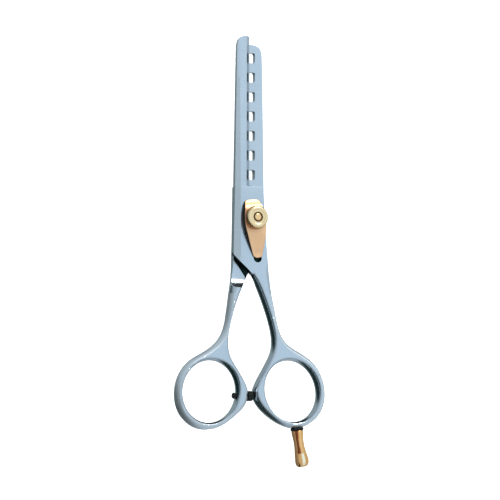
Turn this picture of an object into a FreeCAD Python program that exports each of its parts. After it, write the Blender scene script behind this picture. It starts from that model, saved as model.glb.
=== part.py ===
import FreeCAD, Part
import math
import os

from FreeCAD import Placement, Rotation, Vector

# Thinning shears, millimetres. The pivot axis is +Z through the origin, the blades point along +Y, and the
# shears lie on their back: Z = 0 is the outer face of the comb half, the tension knob is on top.

doc = FreeCAD.newDocument("thinning_shears")

# ---------------------------------------------------------------- driving dimensions
sheet = doc.addObject("Spreadsheet::Sheet", "Dims")
DIMS = [
    ("thick_total", 5.50, "ricasso, shank and ring thickness, both halves closed"),
    ("comb_top", 2.72, "inner face of the comb half"),
    ("plain_bottom", 2.78, "inner face of the plain half"),
    ("scoop_radius", 5.0, "grinding radius where the flat inner face runs out into the shank"),
    ("scoop_y", -20.0, "where that radius starts"),
    ("round_edge", 1.05, "rounding of the shank and ring edges"),
    ("hole_left_a", 9.90, "comb half finger hole, half width"),
    ("hole_left_b", 10.85, "comb half finger hole, half length"),
    ("hole_right_a", 9.80, "plain half finger hole, half width"),
    ("hole_right_b", 10.80, "plain half finger hole, half length"),
    ("tooth_pitch", 6.96, "pitch of the comb teeth"),
    ("tooth_gap", 3.70, "gap between two teeth"),
    ("gap_floor_x", 1.70, "bottom of the gaps"),
    ("tooth_tip_x", -2.20, "tips of the teeth"),
    ("first_gap_y", 57.60, "centre of the gap nearest the tip"),
    ("blade_taper", 0.90, "how much thinner each blade is at the tip"),
    ("shoulder_y", 11.40, "end of the ricasso"),
    ("bore_r", 2.70, "bore of the comb half, around the bushing"),
    ("bush_in_r", 2.05, "bushing bore"),
    ("stud_r", 2.00, "plain part of the pivot stud"),
    ("stud_key_r", 1.95, "keyed neck of the pivot stud"),
    ("stud_flat", 1.55, "flat of the keyed neck, from the axis"),
    ("thread_r", 1.45, "threaded end of the pivot stud"),
    ("thread_pitch", 0.50, "pitch of the stud's thread"),
    ("head_r", 3.55, "pivot stud head"),
    ("head_thick", 0.85, "pivot stud head thickness"),
    ("head_bore_r", 3.65, "counterbore for the head"),
    ("head_bore_deep", 1.25, "counterbore depth"),
    ("head_washer_thick", 0.36, "washer under the head"),
    ("ride_r", 4.40, "ride washer between the halves"),
    ("ride_recess_deep", 0.30, "recess of the ride washer"),
    ("ride_thick", 0.34, "ride washer thickness"),
    ("leaf_thick", 0.60, "leaf spring thickness"),
    ("leaf_rise", 1.50, "free height under the leaf spring"),
    ("leaf_hole_r", 1.60, "leaf spring hole"),
    ("leaf_turn", 6.8, "angle of the leaf spring in the plan"),
    ("foot_r", 0.65, "leaf spring foot"),
    ("foot_hole_r", 1.50, "hole for that foot"),
    ("foot_hole_deep", 1.80, "depth of that hole"),
    ("knob_washer_r", 3.10, "washer under the knob"),
    ("knob_washer_thick", 0.34, "its thickness"),
    ("knob_r", 3.90, "tension knob"),
    ("knob_tall", 2.55, "tension knob height"),
    ("knob_bore_r", 1.50, "knob bore, with 0.05 of clearance on the thread"),
    ("knob_sink_r", 1.80, "recess in the knob's top"),
    ("knob_sink_deep", 0.90, "depth of that recess"),
    ("bumper_r", 1.75, "bumper head"),
    ("bumper_stem_r", 0.90, "bumper stem"),
    ("bumper_y", -62.0, "bumper axis"),
    ("bumper_left", -1.32, "flat of the comb half's lug"),
    ("bumper_right", 0.66, "flat of the plain half's lug"),
    ("rest_turn", 7.5, "angle of the finger rest from straight down"),
    ("rest_x", 17.45, "centre of the finger rest's seat"),
    ("rest_y", -73.30, "centre of the finger rest's seat"),
    ("rest_washer_r", 2.35, "finger rest washer"),
    ("rest_washer_thick", 1.50, "its thickness"),
    ("rest_stud_r", 1.00, "finger rest stud"),
]
D = {}
for i, (alias, value, note) in enumerate(DIMS, start=1):
    sheet.set(f"A{i}", note)
    sheet.set(f"B{i}", str(value))
    sheet.setAlias(f"B{i}", alias)
    D[alias] = value
doc.recompute()

T = D["thick_total"]
MID = T / 2


# ---------------------------------------------------------------- helpers
def body(name):
    b = doc.addObject("PartDesign::Body", name)
    b.Label = name
    return b


def plane(b, role):
    return next(f for f in b.Origin.OriginFeatures if f.Role == role)


def sketch(b, name, role, offset=0.0, expression=None):
    sk = b.newObject("Sketcher::SketchObject", name)
    sk.AttachmentSupport = [(plane(b, role), "")]
    sk.MapMode = "FlatFace"
    sk.AttachmentOffset = Placement(Vector(0, 0, offset), Rotation())
    if expression:
        sk.setExpression("AttachmentOffset.Base.z", expression)
    return sk


def closed_spline(sk, pts, step=5):
    """One smooth closed curve through the points, laid down as several pieces that continue into each other."""
    c = Part.BSplineCurve()
    c.interpolate(Points=[Vector(x, y, 0) for x, y in pts], PeriodicFlag=True)
    marks = [c.FirstParameter] + [c.parameter(Vector(x, y, 0)) for x, y in pts[step:-2:step]] + [c.LastParameter]
    for a, b in zip(marks, marks[1:]):
        piece = c.copy()
        piece.segment(a, b)
        sk.addGeometry(piece, False)


def chain(sk, parts):
    """Lines and open splines, end to end. A part is a list of points: two give a line, more give a spline."""
    for pts in parts:
        v = [Vector(x, y, 0) for x, y in pts]
        if len(v) == 2:
            sk.addGeometry(Part.LineSegment(v[0], v[1]), False)
        else:
            c = Part.BSplineCurve()
            c.interpolate(Points=v)
            sk.addGeometry(c, False)


def polygon(sk, pts):
    for a, b in zip(pts, pts[1:] + pts[:1]):
        sk.addGeometry(Part.LineSegment(Vector(a[0], a[1], 0), Vector(b[0], b[1], 0)), False)


def circle(sk, x, y, r, expression=None):
    import Sketcher

    i = sk.addGeometry(Part.Circle(Vector(x, y, 0), Vector(0, 0, 1), r), False)
    c = sk.addConstraint(Sketcher.Constraint("Radius", i, r))
    if expression:
        sk.setExpression(f"Constraints[{c}]", expression)


def ellipse(sk, cx, cy, a, b, turn):
    t = math.radians(turn)
    centre = Vector(cx, cy, 0)
    major = centre + Vector(-math.sin(t) * b, math.cos(t) * b, 0)
    minor = centre + Vector(math.cos(t) * a, math.sin(t) * a, 0)
    sk.addGeometry(Part.Ellipse(major, minor, centre), False)


def pad(b, name, sk, expression=None, length=1.0, reverse=False, symmetric=False):
    p = b.newObject("PartDesign::Pad", name)
    p.Profile = sk
    p.Length = length
    if expression:
        p.setExpression("Length", expression)
    p.Reversed = reverse
    if symmetric:
        p.Midplane = True
    return p


def pocket(b, name, sk, length=1.0, expression=None, reverse=False, symmetric=False):
    p = b.newObject("PartDesign::Pocket", name)
    p.Profile = sk
    p.Length = length
    if expression:
        p.setExpression("Length", expression)
    p.Reversed = reverse
    if symmetric:
        p.Midplane = True
    return p


def cut_check(b, feature, label):
    """A pocket that points away from the solid removes nothing and gives no error, so volumes are compared."""
    doc.recompute()
    before = feature.BaseFeature.Shape.Volume
    after = feature.Shape.Volume
    print(f"{label:24s} {before:9.2f} -> {after:9.2f}")
    if not after < before - 1e-4:
        raise SystemExit(f"{label} removed nothing: {before:.3f} {after:.3f}")


def edges_where(shape, test):
    out = []
    for i, e in enumerate(shape.Edges, start=1):
        if test(e):
            out.append(f"Edge{i}")
    return out


def at_z(e, z, tol=1e-3):
    bb = e.BoundBox
    return abs(bb.ZMin - z) < tol and abs(bb.ZMax - z) < tol


# ---------------------------------------------------------------- outlines (x, y)
COMB_HANDLE = [
    (-5.4, -11.5), (-6.60, -16.3), (-7.40, -20.4), (-8.12, -24.6), (-8.72, -28.9), (-9.32, -33.2), (-10.02, -37.3),
    (-11.1, -40.7), (-13.0, -43.6), (-15.9, -46.1), (-19.3, -48.15), (-22.6, -50.05), (-25.2, -52.5), (-27.05, -55.5),
    (-28.15, -58.8), (-28.50, -62.3), (-28.10, -66.0), (-26.85, -69.3), (-24.7, -72.1), (-21.75, -74.0),
    (-18.2, -74.92), (-14.5, -74.65), (-11.0, -73.25), (-7.95, -71.2), (-5.3, -68.9), (-3.2, -66.4), (-1.75, -64.1),
    (-1.05, -62.0), (-1.35, -59.8), (-2.6, -57.0), (-4.3, -54.1), (-6.1, -51.4), (-7.65, -48.8), (-8.45, -46.1),
    (-8.62, -43.4), (-8.40, -40.6), (-7.80, -37.6), (-6.95, -34.2), (-5.85, -30.4), (-4.45, -26.6), (-2.85, -22.9),
    (-1.2, -19.9), (0.6, -16.6), (0.9, -12.6), (-2.0, -9.8),
]
PLAIN_HANDLE = [
    (4.5, -9.8), (5.55, -14.2), (6.30, -18.2), (6.92, -22.1), (7.62, -26.2), (8.42, -30.3), (9.28, -34.5), (10.2, -38.2),
    (11.4, -41.0), (13.3, -43.4), (16.2, -45.4), (19.5, -47.15), (22.5, -49.2), (24.95, -51.9), (26.65, -55.3),
    (27.55, -59.0), (27.52, -62.8), (26.5, -66.2), (24.6, -69.0), (22.1, -71.3), (19.2, -72.85), (16.0, -73.45),
    (12.5, -72.85), (9.1, -71.4), (6.0, -69.3), (3.4, -66.8), (1.5, -64.1), (0.42, -61.8), (0.75, -59.5), (2.2, -56.5),
    (4.05, -53.2), (5.85, -50.0), (7.15, -47.4), (7.85, -45.0), (8.0, -42.6), (7.75, -40.0), (7.1, -37.1),
    (6.1, -33.7), (4.88, -30.2), (3.4, -26.4), (1.75, -22.7), (0.1, -19.6), (-1.3, -16.0), (-0.8, -11.5), (2.0, -8.8),
][::-1]
COMB_PLATE = [
    # left shoulder, ricasso side and lower end
    [(-2.20, 11.40), (-6.10, 11.40)],
    [(-6.10, 11.40), (-6.32, 0.0), (-6.62, -14.6)],
    [(-6.62, -14.6), (-4.6, -20.5)],
    [(-4.6, -20.5), (-1.75, -20.5)],
    [(-1.75, -20.5), (0.45, -17.9), (2.75, -15.1), (5.30, -11.5)],
    # right side of the ricasso, then the spine of the comb
    [(5.30, -11.5), (5.15, 0.0), (5.05, 11.4)],
    [(5.05, 11.4), (4.94, 20.0), (4.66, 42.0), (4.40, 57.6)],
    [(4.40, 57.6), (4.20, 59.6), (3.35, 61.4), (1.60, 62.3)],
    [(1.60, 62.3), (-2.20, 62.42)],
    [(-2.20, 62.42), (-2.20, 11.40)],
]
PLAIN_PLATE = [
    [(-0.45, 11.40), (-0.45, 65.25)],
    [(-0.45, 65.25), (-2.1, 65.15), (-4.0, 64.75), (-5.05, 63.7), (-5.50, 62.2), (-5.65, 60.0)],
    [(-5.65, 60.0), (-5.84, 50.0), (-6.15, 34.0), (-6.42, 20.0), (-6.62, 8.0), (-6.85, -3.0), (-7.02, -12.8)],
    [(-7.02, -12.8), (-4.67, -15.35), (-2.05, -17.75), (-0.45, -19.5), (0.55, -21.0)],
    [(0.55, -21.0), (4.2, -20.5)],
    [(4.2, -20.5), (5.62, -12.9)],
    [(5.62, -12.9), (5.02, -6.6), (4.40, 2.0), (3.88, 11.4)],
    [(3.88, 11.4), (-0.45, 11.40)],
]
HOLE_LEFT = (-15.45, -60.80, D["hole_left_a"], D["hole_left_b"], -17.3)
HOLE_RIGHT = (14.86, -59.98, D["hole_right_a"], D["hole_right_b"], 20.5)


def handle(b, prefix, outline, hole):
    """Shank and ring: an outline padded over the full thickness, with the finger hole and rounded edges."""
    sk = sketch(b, prefix + "_outline", "XY_Plane")
    closed_spline(sk, outline)
    p = pad(b, prefix + "_handle", sk, "Dims.thick_total", T)
    sk = sketch(b, prefix + "_hole_outline", "XY_Plane")
    ellipse(sk, *hole)
    h = pocket(b, prefix + "_finger_hole", sk, T, "Dims.thick_total", reverse=True)
    cut_check(b, h, prefix + " finger hole")
    f = b.newObject("PartDesign::Fillet", prefix + "_round")
    f.Base = (h, edges_where(h.Shape, lambda e: at_z(e, 0) or at_z(e, T)))
    f.Radius = D["round_edge"]
    f.setExpression("Radius", "Dims.round_edge")
    doc.recompute()
    return f


# ---------------------------------------------------------------- comb half
comb = body("comb_blade")
handle(comb, "comb", COMB_HANDLE, HOLE_LEFT)
# lug: flat seat and hole for the bumper
sk = sketch(comb, "comb_seat_profile", "YZ_Plane", D["bumper_left"], "Dims.bumper_left")
polygon(sk, [(D["bumper_y"] - 2.6, -1), (D["bumper_y"] + 2.6, -1), (D["bumper_y"] + 2.6, T + 1), (D["bumper_y"] - 2.6, T + 1)])
cut_check(comb, pocket(comb, "comb_lug_seat", sk, 1.2, reverse=True), "comb lug seat")
sk = sketch(comb, "comb_stem_profile", "YZ_Plane", D["bumper_left"], "Dims.bumper_left")
circle(sk, D["bumper_y"], MID, D["bumper_stem_r"] + 0.02, "Dims.bumper_stem_r + 0.02")
cut_check(comb, pocket(comb, "comb_stem_hole", sk, 6.5, reverse=False), "comb stem hole")
# the flat inner face, run out into the shank with a grinding radius
sk = sketch(comb, "comb_scoop_profile", "YZ_Plane")
R = D["scoop_radius"]
y0, z0 = D["scoop_y"], D["comb_top"]
rise = T + 0.5 - z0
a1 = math.acos(1 - rise / R)
end = (y0 - R * math.sin(a1), z0 + R * (1 - math.cos(a1)))
half = (y0 - R * math.sin(a1 / 2), z0 + R * (1 - math.cos(a1 / 2)))
sk.addGeometry(Part.Arc(Vector(y0, z0, 0), Vector(*half, 0), Vector(*end, 0)), False)
sk.addGeometry(Part.LineSegment(Vector(*end, 0), Vector(0, end[1], 0)), False)
sk.addGeometry(Part.LineSegment(Vector(0, end[1], 0), Vector(0, z0, 0)), False)
sk.addGeometry(Part.LineSegment(Vector(0, z0, 0), Vector(y0, z0, 0)), False)
cut_check(comb, pocket(comb, "comb_scoop", sk, 60, symmetric=True), "comb scoop")
sk = sketch(comb, "comb_plate_outline", "XY_Plane")
chain(sk, COMB_PLATE)
pad(comb, "comb_plate", sk, "Dims.comb_top", D["comb_top"])
# outer face of the comb tapers towards the tip
sk = sketch(comb, "comb_taper_profile", "YZ_Plane")
polygon(sk, [(D["shoulder_y"], 0), (66, D["blade_taper"]), (66, -1), (D["shoulder_y"], -1)])
cut_check(comb, pocket(comb, "comb_taper", sk, 60, symmetric=True), "comb taper")
# bevel along the spine, on the outer face
bevel = []
for name, y, pts in (
    ("comb_bevel_low", -8.0, [(3.6, -0.01), (6.2, 1.05), (6.2, -1.5), (3.6, -1.5)]),
    ("comb_bevel_high", 66.0, [(2.75, 0.90), (4.9, 1.80), (4.9, -1.5), (2.75, -1.5)]),
):
    s = sketch(comb, name, "XZ_Plane", -y)
    polygon(s, pts)
    bevel.append(s)
lf = comb.newObject("PartDesign::SubtractiveLoft", "comb_spine_bevel")
lf.Profile, lf.Sections, lf.Ruled = bevel[0], [bevel[1]], True
cut_check(comb, lf, "comb spine bevel")
# relief towards the tooth tips, on the outer face
bevel = []
for name, y, pts in (
    ("comb_relief_low", 13.2, [(1.6, 0.02), (-2.6, 1.35), (-2.6, -1.5), (1.6, -1.5)]),
    ("comb_relief_high", 66.0, [(1.3, 0.90), (-2.6, 1.75), (-2.6, -1.5), (1.3, -1.5)]),
):
    s = sketch(comb, name, "XZ_Plane", -y)
    polygon(s, pts)
    bevel.append(s)
lf = comb.newObject("PartDesign::SubtractiveLoft", "comb_relief")
lf.Profile, lf.Sections, lf.Ruled = bevel[0], [bevel[1]], True
cut_check(comb, lf, "comb relief")
# one gap with a rounded floor, then seven of them
sk = sketch(comb, "gap_outline", "XY_Plane")
gx, gy, g, tip = D["gap_floor_x"], D["first_gap_y"], D["tooth_gap"], D["tooth_tip_x"] - 1
r = 0.7
sk.addGeometry(Part.LineSegment(Vector(tip, gy + g / 2, 0), Vector(gx - r, gy + g / 2, 0)), False)
sk.addGeometry(Part.Arc(Vector(gx - r, gy + g / 2, 0), Vector(gx - r + r * math.sin(math.pi / 4), gy + g / 2 - r + r * math.cos(math.pi / 4), 0), Vector(gx, gy + g / 2 - r, 0)), False)
sk.addGeometry(Part.LineSegment(Vector(gx, gy + g / 2 - r, 0), Vector(gx, gy - g / 2 + r, 0)), False)
sk.addGeometry(Part.Arc(Vector(gx, gy - g / 2 + r, 0), Vector(gx - r + r * math.sin(math.pi / 4), gy - g / 2 + r - r * math.cos(math.pi / 4), 0), Vector(gx - r, gy - g / 2, 0)), False)
sk.addGeometry(Part.LineSegment(Vector(gx - r, gy - g / 2, 0), Vector(tip, gy - g / 2, 0)), False)
sk.addGeometry(Part.LineSegment(Vector(tip, gy - g / 2, 0), Vector(tip, gy + g / 2, 0)), False)
gap = pocket(comb, "gap", sk, 4.0, reverse=True)
cut_check(comb, gap, "gap")
lp = comb.newObject("PartDesign::LinearPattern", "gaps")
lp.Originals = [gap]
lp.Direction = (next(f for f in comb.Origin.OriginFeatures if f.Role == "Y_Axis"), [""])
lp.Reversed = True
lp.Length = D["tooth_pitch"] * 6
lp.setExpression("Length", "Dims.tooth_pitch * 6")
lp.Occurrences = 7
comb.Tip = lp
doc.recompute()
# pivot: bore, head counterbore and ride washer recess
for name, r_, expr, depth, dexpr, z, zexpr, rev in (
    ("comb_bore", D["bore_r"], "Dims.bore_r", 4.0, None, 0, None, True),
    ("comb_head_bore", D["head_bore_r"], "Dims.head_bore_r", D["head_bore_deep"], "Dims.head_bore_deep", 0, None, True),
    ("comb_ride_recess", D["ride_r"] + 0.05, "Dims.ride_r + 0.05", D["ride_recess_deep"], "Dims.ride_recess_deep", D["comb_top"], "Dims.comb_top", False),
):
    sk = sketch(comb, name + "_outline", "XY_Plane", z, zexpr)
    circle(sk, 0, 0, r_, expr)
    cut_check(comb, pocket(comb, name, sk, depth, dexpr, reverse=rev), name)
# ---------------------------------------------------------------- plain half
plain = body("plain_blade")
handle(plain, "plain", PLAIN_HANDLE, HOLE_RIGHT)
# lug: flat that meets the bumper
sk = sketch(plain, "plain_seat_profile", "YZ_Plane", D["bumper_right"], "Dims.bumper_right")
polygon(sk, [(D["bumper_y"] - 2.6, -1), (D["bumper_y"] + 2.6, -1), (D["bumper_y"] + 2.6, T + 1), (D["bumper_y"] - 2.6, T + 1)])
cut_check(plain, pocket(plain, "plain_lug_flat", sk, 1.2, reverse=False), "plain lug flat")
sk = sketch(plain, "plain_scoop_profile", "YZ_Plane")
z0 = D["plain_bottom"]
rise = z0 + 0.5
a1 = math.acos(1 - rise / R)
end = (y0 - R * math.sin(a1), z0 - R * (1 - math.cos(a1)))
half = (y0 - R * math.sin(a1 / 2), z0 - R * (1 - math.cos(a1 / 2)))
sk.addGeometry(Part.Arc(Vector(y0, z0, 0), Vector(*half, 0), Vector(*end, 0)), False)
sk.addGeometry(Part.LineSegment(Vector(*end, 0), Vector(0, end[1], 0)), False)
sk.addGeometry(Part.LineSegment(Vector(0, end[1], 0), Vector(0, z0, 0)), False)
sk.addGeometry(Part.LineSegment(Vector(0, z0, 0), Vector(y0, z0, 0)), False)
cut_check(plain, pocket(plain, "plain_scoop", sk, 60, symmetric=True), "plain scoop")
sk = sketch(plain, "plain_plate_outline", "XY_Plane", D["plain_bottom"], "Dims.plain_bottom")
chain(sk, PLAIN_PLATE)
pad(plain, "plain_plate", sk, "Dims.thick_total - Dims.plain_bottom", T - D["plain_bottom"])
sk = sketch(plain, "plain_taper_profile", "YZ_Plane")
polygon(sk, [(D["shoulder_y"], T), (66, T - D["blade_taper"]), (66, T + 1), (D["shoulder_y"], T + 1)])
cut_check(plain, pocket(plain, "plain_taper", sk, 60, symmetric=True), "plain taper")
# bevel along the spine, from the tip to the lower corner of the ricasso
bevel = []
for name, y, pts in (
    ("plain_bevel_low", -18.0, [(-4.62, T + 0.01), (-8.0, T - 1.15), (-8.0, T + 2), (-4.62, T + 2)]),
    ("plain_bevel_high", 67.0, [(-4.72, T - 0.90), (-6.6, T - 1.60), (-6.6, T + 2), (-4.72, T + 2)]),
):
    s = sketch(plain, name, "XZ_Plane", -y)
    polygon(s, pts)
    bevel.append(s)
lf = plain.newObject("PartDesign::SubtractiveLoft", "plain_spine_bevel")
lf.Profile, lf.Sections, lf.Ruled = bevel[0], [bevel[1]], True
cut_check(plain, lf, "plain spine bevel")
# the ground face that runs down to the cutting edge, and the edge itself
bevel = []
for name, y, pts in (
    ("plain_grind_low", 11.9, [(-4.55, T - 0.01), (-0.85, 3.30), (-0.45, 2.86), (1.5, 2.86), (1.5, T + 2), (-4.55, T + 2)]),
    ("plain_grind_high", 67.0, [(-4.40, T - 0.92), (-0.85, 3.22), (-0.45, 2.84), (1.5, 2.84), (1.5, T + 2), (-4.40, T + 2)]),
):
    s = sketch(plain, name, "XZ_Plane", -y)
    polygon(s, pts)
    bevel.append(s)
lf = plain.newObject("PartDesign::SubtractiveLoft", "plain_grind")
lf.Profile, lf.Sections, lf.Ruled = bevel[0], [bevel[1]], True
cut_check(plain, lf, "plain grind")
# keyed hole for the pivot stud
sk = sketch(plain, "plain_key_outline", "XY_Plane", D["plain_bottom"], "Dims.plain_bottom")
rk, fl = D["stud_key_r"] + 0.02, D["stud_flat"] + 0.02
ang = math.acos(fl / rk)
sk.addGeometry(Part.Arc(Vector(rk * math.cos(ang), rk * math.sin(ang), 0), Vector(-rk, 0, 0), Vector(rk * math.cos(ang), -rk * math.sin(ang), 0)), False)
sk.addGeometry(Part.LineSegment(Vector(rk * math.cos(ang), -rk * math.sin(ang), 0), Vector(rk * math.cos(ang), rk * math.sin(ang), 0)), False)
cut_check(plain, pocket(plain, "plain_key_hole", sk, 4.0, reverse=True), "plain key hole")
# hole for the foot of the leaf spring
lt = math.radians(D["leaf_turn"])
FOOT = (14.0 * math.sin(lt), -14.0 * math.cos(lt))
sk = sketch(plain, "foot_hole_outline", "XY_Plane", T, "Dims.thick_total")
circle(sk, FOOT[0], FOOT[1], D["foot_hole_r"], "Dims.foot_hole_r")
cut_check(plain, pocket(plain, "foot_hole", sk, D["foot_hole_deep"], "Dims.foot_hole_deep"), "foot hole")
# boss and threaded hole for the finger rest
RT = math.radians(D["rest_turn"])
REST_DIR = Vector(math.sin(RT), -math.cos(RT), 0)
REST_AT = Vector(D["rest_x"], D["rest_y"], MID)
REST_ROT = Rotation(Vector(0, 0, 1), REST_DIR)
boss = plain.newObject("PartDesign::AdditiveCylinder", "rest_boss")
boss.Radius = 2.4
boss.setExpression("Radius", "Dims.rest_washer_r + 0.05")
boss.Height = 1.9
boss.Placement = Placement(REST_AT - REST_DIR * 1.9, REST_ROT)
doc.recompute()
tap = plain.newObject("PartDesign::SubtractiveCylinder", "rest_thread_hole")
tap.Radius = 1.02
tap.setExpression("Radius", "Dims.rest_stud_r + 0.02")
tap.Height = 2.2
tap.Placement = Placement(REST_AT - REST_DIR * 2.1, REST_ROT)
cut_check(plain, tap, "rest thread hole")

# ---------------------------------------------------------------- pivot stud
stud = body("pivot_stud")
STUD_TOP = T + D["leaf_rise"] + D["leaf_thick"] + D["knob_washer_thick"] + D["knob_tall"] - 0.35
sk = sketch(stud, "stud_profile", "XZ_Plane")
hr, ht, sr, kr_, tr, pb = D["head_r"], D["head_thick"], D["stud_r"], D["stud_key_r"], D["thread_r"], D["plain_bottom"] - 0.01
chain(sk, [
    [(0, 0), (hr - 0.15, 0)], [(hr - 0.15, 0), (hr, 0.15)], [(hr, 0.15), (hr, ht)], [(hr, ht), (sr, ht)], [(sr, ht), (sr, pb)],
    [(sr, pb), (kr_, pb)], [(kr_, pb), (kr_, T)], [(kr_, T), (tr, T)], [(tr, T), (tr, STUD_TOP - 0.55)],
    [(tr, STUD_TOP - 0.55), (tr - 0.25, STUD_TOP - 0.3)],
    [(tr - 0.25, STUD_TOP - 0.3), (0.85, STUD_TOP - 0.11), (0.4, STUD_TOP - 0.02)],
    [(0.4, STUD_TOP - 0.02), (0, STUD_TOP - 0.02)], [(0, STUD_TOP - 0.02), (0, 0)],
])
rv = stud.newObject("PartDesign::Revolution", "stud_turned")
rv.Profile = sk
rv.ReferenceAxis = (next(f for f in stud.Origin.OriginFeatures if f.Role == "Z_Axis"), [""])
rv.Angle = 360
doc.recompute()
# the flat of the keyed neck
sk = sketch(stud, "stud_flat_outline", "XY_Plane", T, "Dims.thick_total")
fl = D["stud_flat"]
polygon(sk, [(fl, -3), (3, -3), (3, 3), (fl, 3)])
cut_check(stud, pocket(stud, "stud_key_flat", sk, T - pb, "Dims.thick_total - Dims.plain_bottom + 0.01"), "stud key flat")
# two spanner holes in the head
sk = sketch(stud, "spanner_outline", "XY_Plane")
circle(sk, 2.2, 0, 0.45)
circle(sk, -2.2, 0, 0.45)
cut_check(stud, pocket(stud, "spanner_holes", sk, 0.6, reverse=True), "spanner holes")


# ---------------------------------------------------------------- plain round pieces
def ring_body(name, outer, inner, z, tall, oexpr, iexpr, zexpr, texpr):
    b = body(name)
    s = sketch(b, name + "_outline", "XY_Plane", z, zexpr)
    circle(s, 0, 0, outer, oexpr)
    circle(s, 0, 0, inner, iexpr)
    pad(b, name + "_ring", s, texpr, tall)
    doc.recompute()
    return b


bush = ring_body("pivot_bushing", D["bore_r"], D["bush_in_r"], D["head_bore_deep"], D["comb_top"] - D["ride_recess_deep"] - D["head_bore_deep"], "Dims.bore_r", "Dims.bush_in_r", "Dims.head_bore_deep", "Dims.comb_top - Dims.ride_recess_deep - Dims.head_bore_deep")
ride = ring_body("ride_washer", D["ride_r"], D["bush_in_r"], D["comb_top"] - D["ride_recess_deep"], D["ride_thick"], "Dims.ride_r", "Dims.bush_in_r", "Dims.comb_top - Dims.ride_recess_deep", "Dims.ride_thick")
headw = ring_body("head_washer", D["head_r"] - 0.05, D["bush_in_r"], D["head_thick"], D["head_washer_thick"], "Dims.head_r - 0.05", "Dims.bush_in_r", "Dims.head_thick", "Dims.head_washer_thick")
KW_Z = T + D["leaf_rise"] + D["leaf_thick"]
knobw = ring_body("knob_washer", D["knob_washer_r"], D["thread_r"] + 0.08, KW_Z, D["knob_washer_thick"], "Dims.knob_washer_r", "Dims.thread_r + 0.08", "Dims.thick_total + Dims.leaf_rise + Dims.leaf_thick", "Dims.knob_washer_thick")

# ---------------------------------------------------------------- leaf spring
leaf = body("leaf_spring")
sk = sketch(leaf, "leaf_outline", "XY_Plane", T - 2, "Dims.thick_total - 2")
LEAF = [
    (1.55, 6.55), (2.45, 6.20), (2.95, 5.2), (3.45, 3.0), (3.85, 0.6), (3.95, -1.6), (3.75, -3.8), (3.25, -6.6),
    (2.62, -9.4), (2.02, -11.9), (1.62, -13.2), (0.9, -13.85),
]
chain(sk, [
    [(-1.55, 6.55), (1.55, 6.55)],
    LEAF,
    [(0.9, -13.85), (0.0, -13.95), (-0.9, -13.85)],
    [(-x, y) for x, y in reversed(LEAF)],
])
pad(leaf, "leaf_blank", sk, None, 5.0)
# side profile: flat under the knob, sloping down to both ends, with a foot at the lower end
lr, lth = D["leaf_rise"], D["leaf_thick"]
UNDER = [(6.6, T + 0.04), (5.6, T + 0.42), (4.5, T + 1.15), (3.4, T + lr - 0.03), (2.6, T + lr)]
UNDER2 = [(-4.2, T + lr), (-5.6, T + lr - 0.06), (-8.0, T + lr - 0.50), (-10.8, T + 0.45), (-12.2, T + 0.08), (-14.2, T + 0.04)]


def shifted(pts, d):
    out = []
    for i, (y, z) in enumerate(pts):
        a = pts[max(i - 1, 0)]
        b = pts[min(i + 1, len(pts) - 1)]
        ty, tz = b[0] - a[0], b[1] - a[1]
        n = math.hypot(ty, tz)
        out.append((y + tz / n * d, z - ty / n * d))
    return out


up1, up2 = shifted(UNDER, lth), shifted(UNDER2, lth)
up1[-1] = (2.6, T + lr + lth)
up2[0] = (-4.2, T + lr + lth)
sk = sketch(leaf, "leaf_over_profile", "YZ_Plane")
up1 = [(7.6, up1[0][1])] + up1[1:] if up1[0][0] < 6.7 else [(7.6, T + lth)] + up1[1:]
chain(sk, [
    [(7.6, T + 5)] + [up1[0]],
    up1,
    [(2.6, T + lr + lth), (-4.2, T + lr + lth)],
    up2[:-1] + [(-16.2, T + lth + 0.04)],
    [(-16.2, T + lth + 0.04), (-16.2, T + 5)],
    [(-16.2, T + 5), (7.6, T + 5)],
])
cut_check(leaf, pocket(leaf, "leaf_over", sk, 30, symmetric=True), "leaf over")
sk = sketch(leaf, "leaf_under_profile", "YZ_Plane")
chain(sk, [
    [(7.6, T - 3), (7.6, T + 0.04)],
    [(7.6, T + 0.04), (6.6, T + 0.04)],
    UNDER,
    [(2.6, T + lr), (-4.2, T + lr)],
    UNDER2,
    [(-14.2, T + 0.04), (-16.2, T + 0.04)],
    [(-16.2, T + 0.04), (-16.2, T - 3)],
    [(-16.2, T - 3), (7.6, T - 3)],
])
cut_check(leaf, pocket(leaf, "leaf_under", sk, 30, symmetric=True), "leaf under")
sk = sketch(leaf, "foot_outline", "XY_Plane", T - 1.3, "Dims.thick_total - 1.3")
circle(sk, 0, -13.2, D["foot_r"], "Dims.foot_r")
pad(leaf, "leaf_foot", sk, None, 1.6)
sk = sketch(leaf, "leaf_hole_outline", "XY_Plane", T - 2, "Dims.thick_total - 2")
circle(sk, 0, 0, D["leaf_hole_r"], "Dims.leaf_hole_r")
cut_check(leaf, pocket(leaf, "leaf_hole", sk, 6.0, reverse=True), "leaf hole")
leaf.Placement = Placement(Vector(0, 0, 0), Rotation(Vector(0, 0, 1), D["leaf_turn"]))
leaf.setExpression("Placement.Rotation.Angle", "Dims.leaf_turn")

# ---------------------------------------------------------------- tension knob
knob = body("tension_knob")
KZ = KW_Z + D["knob_washer_thick"]
sk = sketch(knob, "knob_profile", "XZ_Plane")
kr, kt, kb, ks, kd = D["knob_r"], D["knob_tall"], D["knob_bore_r"], D["knob_sink_r"], D["knob_sink_deep"]
prof = [
    (kb, KZ), (kr - 0.35, KZ), (kr, KZ + 0.3), (kr, KZ + kt - 0.45), (kr - 0.45, KZ + kt), (ks + 0.85, KZ + kt),
    (ks + 0.55, KZ + kt - 0.18), (ks + 0.05, KZ + kt - 0.18), (ks - 0.2, KZ + kt - kd), (kb, KZ + kt - kd),
]
polygon(sk, prof)
rv = knob.newObject("PartDesign::Revolution", "knob_turned")
rv.Profile = sk
rv.ReferenceAxis = (next(f for f in knob.Origin.OriginFeatures if f.Role == "Z_Axis"), [""])
rv.Angle = 360
doc.recompute()
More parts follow.
